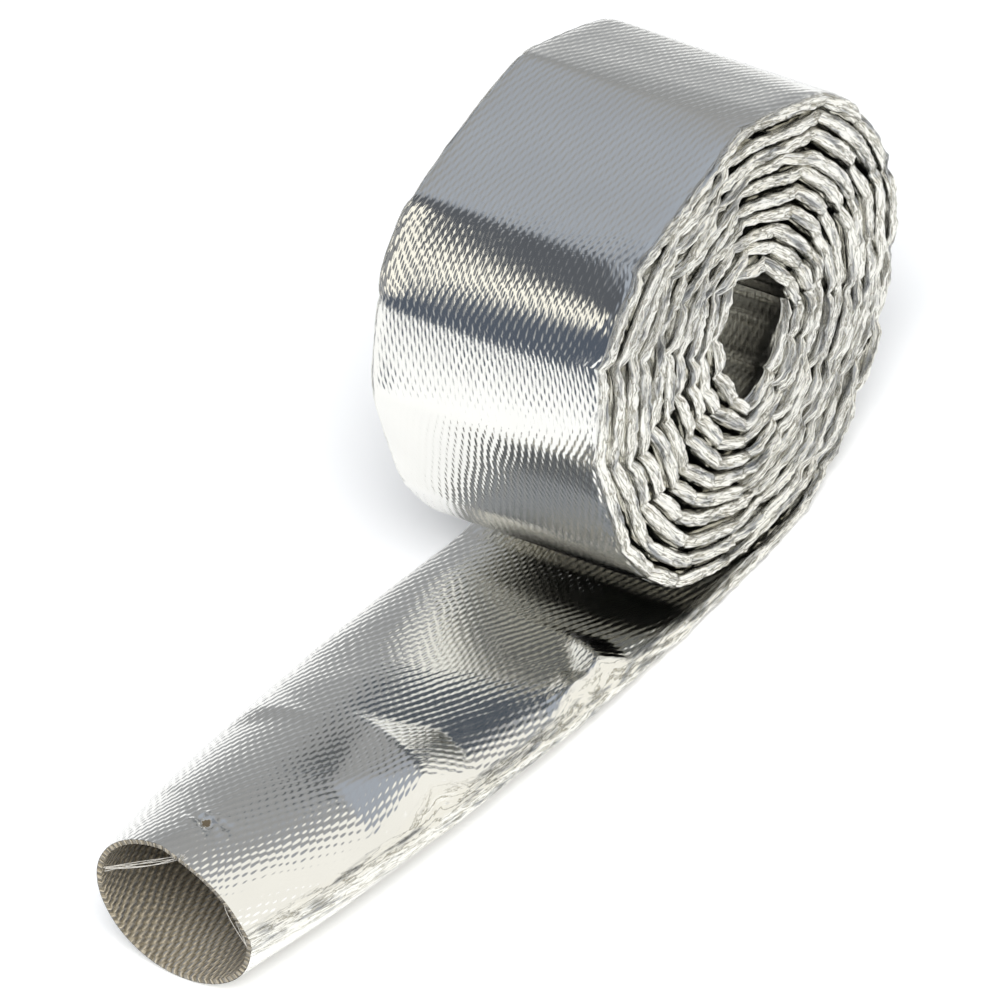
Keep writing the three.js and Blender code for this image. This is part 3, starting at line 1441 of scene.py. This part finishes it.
@dataclass
class Lining:
    """The glass-fibre wall that shows in the open mouth.

    Attributes:
        skin: what wraps the meshes.
        reach: how far in from the mouth it is modelled.
        fineness: step along and points round.
        rim_within: how close to the mouth the edge lies that is closed.
        lip_gap: how far the closed edge stays inside the foil's outer side.
        finish: the glass fibre.
    """

    skin: SleeveSkin
    reach: float = 84.0
    fineness: tuple[float, int] = (1.2, 96)
    rim_within: float = 2.0
    lip_gap: float = 0.06
    finish: GlassFibreFinish = GlassFibreFinish()

    def build(self) -> list[bpy.types.Object]:
        """Makes the lining and closes its edge against the foil.

        Returns:
            The piece, in a list.
        """
        wall = self.skin.form.stock.wall
        patch = SkinPatch(0.0, self.reach, *self.fineness)
        piece = self.skin.wrap("glass_fibre_lining", patch, inset=wall)
        bm = bmesh.new()
        bm.from_mesh(piece.data)
        rim_end = min(v.co.x for v in bm.verts) + self.rim_within * MM
        rim = [e for e in bm.edges if e.is_boundary and max(v.co.x for v in e.verts) < rim_end]
        lip = bmesh.ops.extrude_edge_only(bm, edges=rim)
        centre = sum((v.co for e in rim for v in e.verts), Vector()) / (2 * len(rim))
        for vert in (g for g in lip["geom"] if isinstance(g, bmesh.types.BMVert)):
            out = Vector((0.0, vert.co.y - centre.y, vert.co.z - centre.z)).normalized()
            vert.co += out * (wall - self.lip_gap) * MM
        bmesh.ops.reverse_faces(bm, faces=bm.faces)
        bm.to_mesh(piece.data)
        bm.free()
        piece.data.shade_smooth()
        piece.data.materials.append(self.finish.material("woven_glass_fibre"))
        return [piece]


@dataclass(frozen=True)
class Bundle:
    """A few loose threads that run side by side across the mouth.

    Attributes:
        start: where they come out of the cut edge, across and up from the ground.
        stop: where they go back to it.
        bow: how far their middle hangs towards the mouth's centre.
        threads: how many there are.
    """

    start: tuple[float, float]
    stop: tuple[float, float]
    bow: float
    threads: int


@dataclass
class LooseThreads:
    """Glass-fibre threads that have come loose from the cut edge of the mouth.

    Attributes:
        placement: where the winding is in the frame.
        winding: the line that the sleeve follows.
        finish: the glass fibre.
        radius: a thread's radius.
        spread: how far the threads of a bundle part.
        inside: how far in from the mouth they lie.
        deepest: how much further in a thread's middle may hang.
        fineness: steps along a thread and points round it.
        middle: the mouth's centre, across and up from the ground.
        bundles: the bundles.
        seed: start of the threads' unevenness.
    """

    placement: Placement
    winding: Winding
    finish: GlassFibreFinish = GlassFibreFinish()
    radius: float = 0.055
    spread: float = 0.45
    inside: float = 0.5
    deepest: float = 2.0
    fineness: tuple[int, int] = (18, 5)
    middle: tuple[float, float] = (0.0, 13.0)
    bundles: tuple[Bundle, ...] = (
        Bundle((12.2, 15.3), (-3.4, 24.0), 0.7, 5),
        Bundle((-9.6, 18.6), (-12.4, 10.0), 1.5, 4),
    )
    seed: int = 3

    def build(self) -> list[bpy.types.Object]:
        """Makes all the threads as one piece and dresses it.

        Returns:
            The piece, in a list.
        """
        draw = random.Random(self.seed)
        bm = bmesh.new()
        for bundle in self.bundles:
            for _ in range(bundle.threads):
                self._thread(bm, bundle, draw)
        bmesh.ops.recalc_face_normals(bm, faces=bm.faces)
        piece = finished(bm, "loose_threads")
        piece.data.materials.append(self.finish.thread("loose_thread"))
        return [piece]

    def _thread(self, bm: bmesh.types.BMesh, bundle: Bundle, draw: random.Random) -> None:
        """Adds one thread, a grid rolled into a thin tube.

        Args:
            bm: the mesh to add to.
            bundle: the bundle that it belongs to.
            draw: source of its unevenness.
        """
        rows, sides = self.fineness
        made = bmesh.ops.create_grid(bm, x_segments=rows, y_segments=sides, size=0.5)
        start = Vector(bundle.start) + Vector((draw.uniform(-1, 1), draw.uniform(-1, 1))) * self.spread
        stop = Vector(bundle.stop) + Vector((draw.uniform(-1, 1), draw.uniform(-1, 1))) * self.spread
        toward = (Vector(self.middle) - (start + stop) / 2).normalized()
        bow = bundle.bow + draw.uniform(-1, 1) * self.spread
        deep = draw.uniform(0.0, self.deepest)
        for vert in made["verts"]:
            share, angle = vert.co.x + 0.5, (vert.co.y + 0.5) * 2 * math.pi
            hang = math.sin(math.pi * share)
            place = start.lerp(stop, share) + toward * bow * hang
            place += toward * self.radius * math.cos(angle)
            x = self.inside + deep * hang + self.radius * math.sin(angle) - self.winding.tail_reach
            at = Vector((x + self.placement.axis_x, place.x, place.y))
            vert.co = at * MM
        bmesh.ops.remove_doubles(bm, verts=made["verts"], dist=1e-7)


@dataclass(frozen=True)
class Glow:
    """A soft bright or dark patch of the surroundings.

    Attributes:
        toward: its direction from the sleeve.
        core: degrees from its middle to where it starts to fade.
        edge: degrees from its middle to where it ends.
        colour: its colour.
    """

    toward: tuple[float, float, float]
    core: float
    edge: float
    colour: tuple[float, float, float]


@dataclass(frozen=True)
class Studio:
    """Floor, light and camera.

    Attributes:
        azimuth: the camera's direction, where 0 looks along +Y.
        elevation: how far it looks down.
        roll: how far the picture is turned.
        distance: from the camera to its target.
        target: where it looks, from under the roll's axis on the floor.
        lens: focal length on a sensor of 36.
        table: the floor's edges in metres, as its least and greatest X and Y.
        floor_colour: the floor's colour.
        floor_roughness: its roughness.
        floor_drop: how far it lies under the frame's zero, in metres.
        floor_lift: light that the floor gives off, which keeps its far parts white.
        lamp_place: where the lamp is, in metres.
        lamp_size: the lamp's side, in metres.
        lamp_power: the lamp's power in watts.
        sky: colours of the surroundings from below, at 0, to above, at 1.
        glows: patches of the surroundings.
    """

    azimuth: float = -50.13
    elevation: float = 38.11
    roll: float = -8.08
    distance: float = 1457.8
    target: tuple[float, float, float] = (-37.28, 0.0, 26.78)
    lens: float = 363.1
    table: tuple[float, float, float, float] = (-0.34, 0.5, -3.0, 3.0)
    floor_colour: tuple[float, float, float] = (0.90, 0.90, 0.895)
    floor_roughness: float = 0.9
    floor_drop: float = 0.0004
    floor_lift: float = 0.15
    lamp_place: tuple[float, float, float] = (-1.1, -0.9, 1.9)
    lamp_size: float = 1.3
    lamp_power: float = 58.0
    sky: tuple[tuple[float, tuple[float, float, float]], ...] = (
        (0.46, (0.66, 0.665, 0.67)), (0.53, (0.46, 0.475, 0.50)), (0.65, (0.32, 0.33, 0.345)),
        (0.80, (0.37, 0.375, 0.385)), (0.90, (0.40, 0.43, 0.49)), (1.0, (0.42, 0.465, 0.545)),
    )
    glows: tuple[Glow, ...] = (
        Glow((-0.40, 0.42, 0.81), 18.0, 34.0, (0.11, 0.12, 0.14)),
        Glow((-0.93, 0.25, 0.25), 25.0, 34.0, (0.10, 0.12, 0.16)),
        Glow((0.60, -0.78, 0.15), 34.0, 42.0, (1.02, 1.01, 0.97)),
        Glow((-0.61, 0.52, 0.60), 8.5, 11.5, (1.22, 1.19, 1.09)),
    )

    def build(self, placement: Placement) -> None:
        """Sets up all that surrounds the sleeve.

        Args:
            placement: where the winding is in the frame.
        """
        self._camera(placement)
        self._floor()
        self._world()
        self._lights()
        bpy.context.scene.view_settings.view_transform = "Standard"

    def _camera(self, placement: Placement) -> None:
        """The camera at the photo's angle.

        Args:
            placement: where the winding is in the frame.
        """
        az, el, roll = (math.radians(v) for v in (self.azimuth, self.elevation, self.roll))
        back = Vector((math.sin(az) * math.cos(el), -math.cos(az) * math.cos(el), math.sin(el)))
        level = Vector((math.cos(az), math.sin(az), 0.0))
        up = back.cross(level)
        right = level * math.cos(roll) + up * math.sin(roll)
        top = up * math.cos(roll) - level * math.sin(roll)
        target = (Vector(self.target) + Vector((placement.axis_x, 0.0, 0.0))) * MM
        place = target + back * self.distance * MM
        camera = bpy.data.objects.new("camera", bpy.data.cameras.new("camera"))
        camera.data.lens = self.lens
        camera.data.sensor_width = 36.0
        camera.matrix_world = Matrix.Translation(place) @ Matrix((right, top, back)).transposed().to_4x4()
        bpy.context.scene.collection.objects.link(camera)
        bpy.context.scene.camera = camera

    def _floor(self) -> None:
        """A plain pale floor that ends a little way past the mouth."""
        least_x, most_x, least_y, most_y = self.table
        bm = bmesh.new()
        bmesh.ops.create_grid(bm, x_segments=1, y_segments=1, size=0.5)
        bmesh.ops.scale(bm, vec=(most_x - least_x, most_y - least_y, 1.0), verts=bm.verts)
        middle = ((most_x + least_x) / 2, (most_y + least_y) / 2, -self.floor_drop)
        bmesh.ops.translate(bm, vec=middle, verts=bm.verts)
        floor = finished(bm, "floor")
        material = bpy.data.materials.new("floor")
        material.use_nodes = True
        shader = material.node_tree.nodes["Principled BSDF"]
        shader.inputs["Base Color"].default_value = (*self.floor_colour, 1.0)
        shader.inputs["Roughness"].default_value = self.floor_roughness
        shader.inputs["Specular IOR Level"].default_value = 0.0
        shader.inputs["Emission Color"].default_value = (1.0, 1.0, 0.99, 1.0)
        shader.inputs["Emission Strength"].default_value = self.floor_lift
        floor.data.materials.append(material)

    def _world(self) -> None:
        """Soft grey surroundings, palest below the horizon, with their glows."""
        world = bpy.data.worlds.new("studio")
        bpy.context.scene.world = world
        world.use_nodes = True
        nodes = Nodes(world.node_tree)
        background = world.node_tree.nodes["Background"]
        toward = nodes.add("ShaderNodeTexCoord").outputs["Generated"]
        split = nodes.add("ShaderNodeSeparateXYZ")
        nodes.join(toward, split.inputs[0])
        height = nodes.math("MULTIPLY_ADD", split.outputs["Z"], 0.5, 0.5)
        colour = nodes.ramp(height, list(self.sky))
        for glow in self.glows:
            colour = self._add_glow(nodes, toward, colour, glow)
        nodes.join(colour, background.inputs["Color"])

    @staticmethod
    def _add_glow(nodes: Nodes, toward: bpy.types.NodeSocket, under: bpy.types.NodeSocket,
                  glow: Glow) -> bpy.types.NodeSocket:
        """Lays a glow over the surroundings.

        Args:
            nodes: the world's nodes.
            toward: the direction looked at.
            under: the colour so far.
            glow: the patch to add.

        Returns:
            The colour with the glow.
        """
        dot = nodes.add("ShaderNodeVectorMath", operation="DOT_PRODUCT")
        nodes.join(toward, dot.inputs[0])
        dot.inputs[1].default_value = Vector(glow.toward).normalized()
        fade = nodes.add("ShaderNodeMapRange", interpolation_type="SMOOTHSTEP")
        nodes.join(dot.outputs["Value"], fade.inputs["Value"])
        fade.inputs["From Min"].default_value = math.cos(math.radians(glow.edge))
        fade.inputs["From Max"].default_value = math.cos(math.radians(glow.core))
        blend = nodes.add("ShaderNodeMix", data_type="RGBA")
        nodes.join(fade.outputs["Result"], blend.inputs[0])
        nodes.join(under, blend.inputs[6])
        blend.inputs[7].default_value = (*glow.colour, 1.0)
        return blend.outputs[2]

    def _lights(self) -> None:
        """A large soft lamp over the camera's left."""
        self._panel("overhead", self.lamp_place, self.lamp_size, self.lamp_power)

    @staticmethod
    def _panel(name: str, place: tuple[float, float, float], size: float, power: float) -> None:
        """A square white light that faces the object and does not show in the foil.

        Args:
            name: the light's name.
            place: where it is, in metres.
            size: its side, in metres.
            power: its power in watts.
        """
        light = bpy.data.lights.new(name, "AREA")
        light.size = size
        light.energy = power
        lamp = bpy.data.objects.new(name, light)
        lamp.location = place
        lamp.rotation_euler = (-Vector(place)).to_track_quat("-Z", "Y").to_euler()
        lamp.visible_glossy = False
        bpy.context.scene.collection.objects.link(lamp)


def free_end_dents(lay_flat: float) -> tuple[Dent, ...]:
    """The kinks in the free end, measured from the mouth and round from the far fold.

    Args:
        lay_flat: the flat sleeve's width, where the near fold is.

    Returns:
        The dents.
    """
    fold = lay_flat
    inwards = (0.3, 0.9)
    deep = Dent((39.2, fold + 3.4), ((26.0, fold + 3.8), (29.5, fold + 13.5), (46.0, fold + 19.5),
                                     (50.8, fold + 11), (48.5, fold + 3), (39.2, fold + 1)), 4.4, inwards)
    slanted = Dent((78.8, fold + 3), ((70.0, fold + 3), (78.0, fold + 8), (83.6, fold + 13),
                                      (85.0, fold + 7), (84.0, fold + 2.5), (79.0, fold + 1)), 2.8, inwards)
    small = Dent((70.6, fold + 3), ((65.0, fold + 3), (68.0, fold + 6), (75.0, fold + 7.5),
                                    (76.0, fold + 2.5), (71.0, fold + 1)), 1.8, inwards)
    back = 2 * lay_flat
    from_behind = (-0.6, 0.75)
    first = Dent((17.0, back - 5), ((11.0, back - 5), (16.0, back - 13), (24.0, back - 5),
                                    (18.0, back)), 1.0, from_behind)
    second = Dent((40.0, back - 6), ((33.0, back - 5), (42.0, back - 16), (48.0, back - 6),
                                     (40.0, back)), 1.3, from_behind)
    return deep, slanted, small, first, second


def main() -> None:
    """Builds the sleeve and its surroundings, and reports each piece."""
    logging.basicConfig(level=logging.INFO, format="%(message)s")
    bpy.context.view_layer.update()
    low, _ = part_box(NODE)
    stock = SleeveStock()
    winding = Winding()
    placement = Placement(low[0] / MM + winding.tail_reach, winding.foot_radius)
    form = SleeveForm(stock, winding, dents=free_end_dents(stock.lay_flat))
    skin = SleeveSkin(form, placement, Crumple())
    pieces = [*FoilSkin(skin).build(), *Lining(skin).build(), *LooseThreads(placement, winding).build()]
    for piece in pieces:
        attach(piece, BODY)
        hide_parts(NODE)
        log.info("%s: %d faces", piece.name, len(piece.data.polygons))
    Studio().build(placement)
    bpy.context.view_layer.update()


if __name__ == "__main__":
    main()
